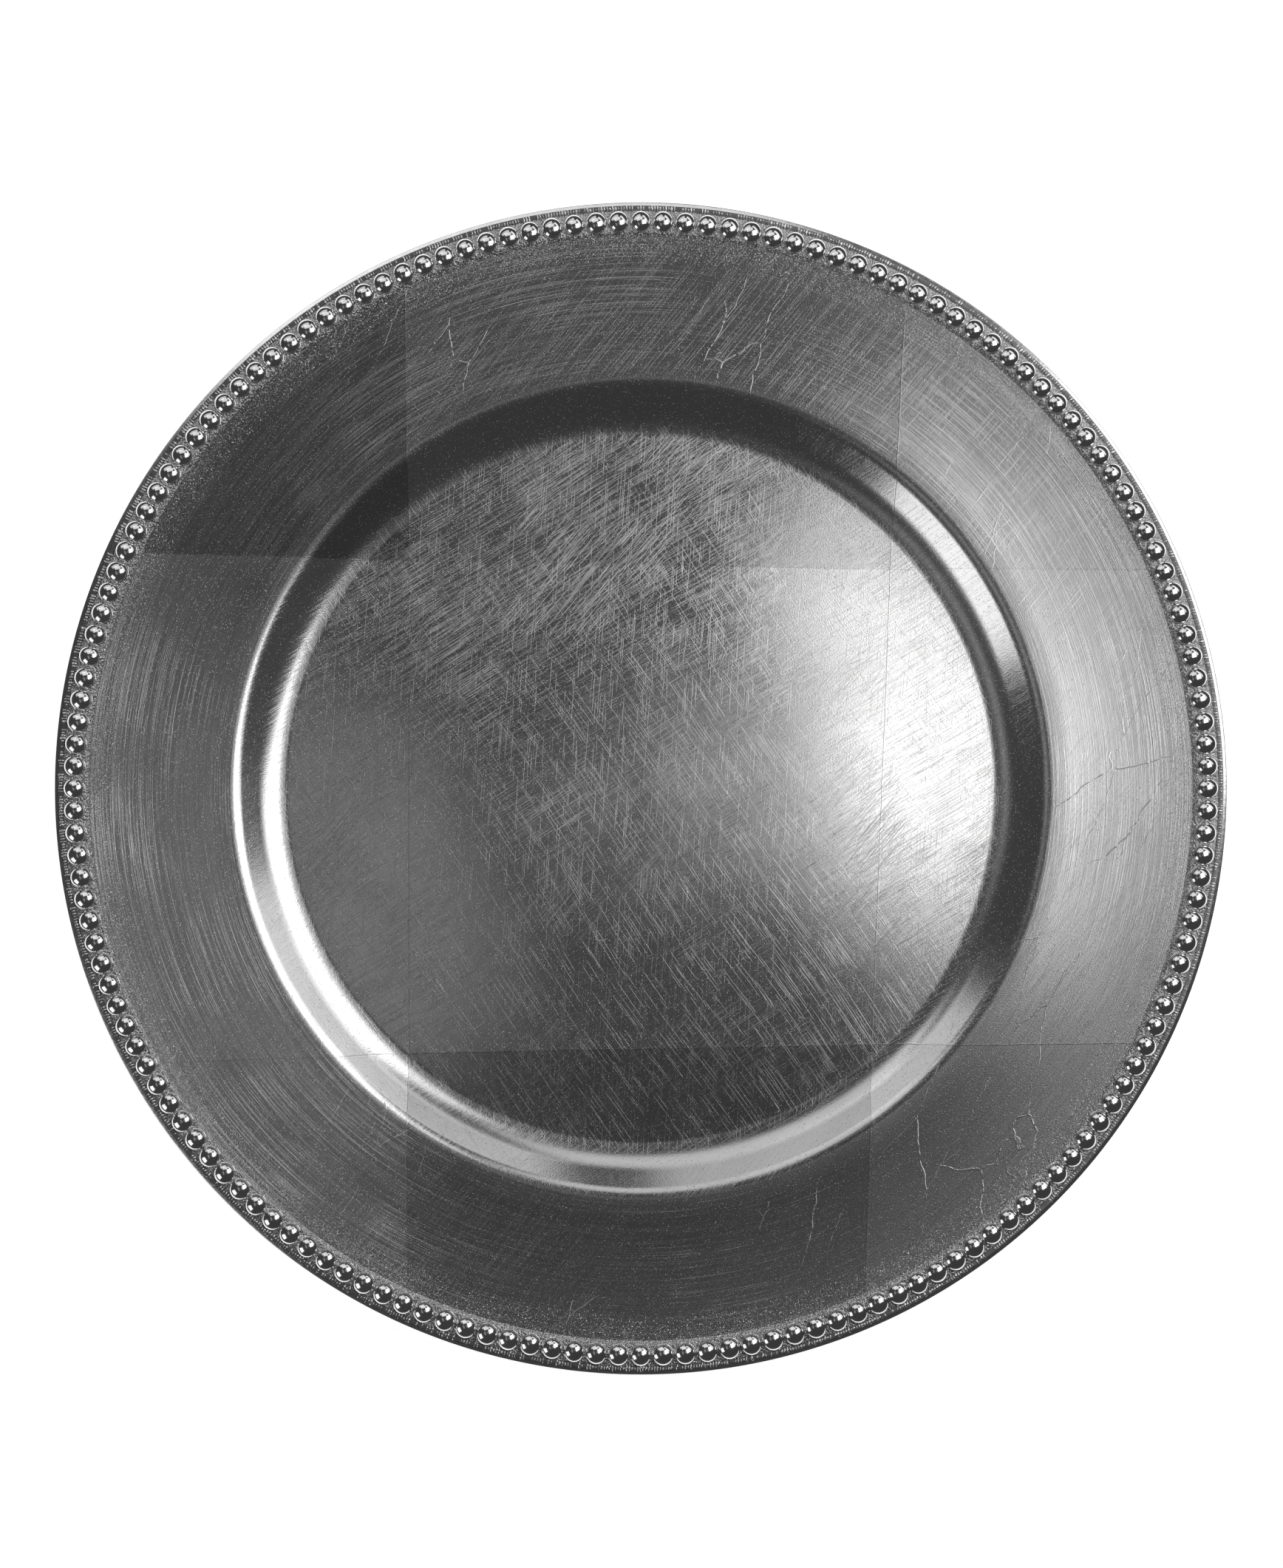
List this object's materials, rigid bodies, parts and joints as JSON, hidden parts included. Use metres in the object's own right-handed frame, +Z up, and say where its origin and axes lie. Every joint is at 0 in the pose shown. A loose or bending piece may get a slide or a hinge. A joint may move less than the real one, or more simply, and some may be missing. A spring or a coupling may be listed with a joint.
{
  "type": "beaded salver",
  "caption": "Round silver-leafed salver with a shallow well, a broad plain rim, a beaded border, a finely reeded edge and a low foot ring.",
  "frame": {"origin": "On the salver's axis, in the plane that the foot ring stands on.", "axes": "+Z up along the axis of the round salver, out of the well. +X and +Y lie in the table plane; the salver is the same all round, so their turn about Z is free."},
  "size_m": [0.33, 0.33, 0.0198],
  "materials": {
    "leafed_sheet": "silver leaf in overlapping squares, burnished in fine curved strokes, under clear lacquer",
    "leafed_beads": "silver leaf pressed over half-round beads, wrinkled and gritty between them",
    "leafed_reeding": "silver leaf over fine cross ribs",
    "leafed_wire": "silver leaf on a smooth rounded lip",
    "lacquered_foot": "satin grey lacquer, worn bright where it stands"
  },
  "bodies": {
    "root": {"dish": "leafed_sheet", "bead_border": "leafed_beads", "reeded_edge": "leafed_reeding", "rim_wire": "leafed_wire", "foot_ring": "lacquered_foot"}
  },
  "joints": []
}
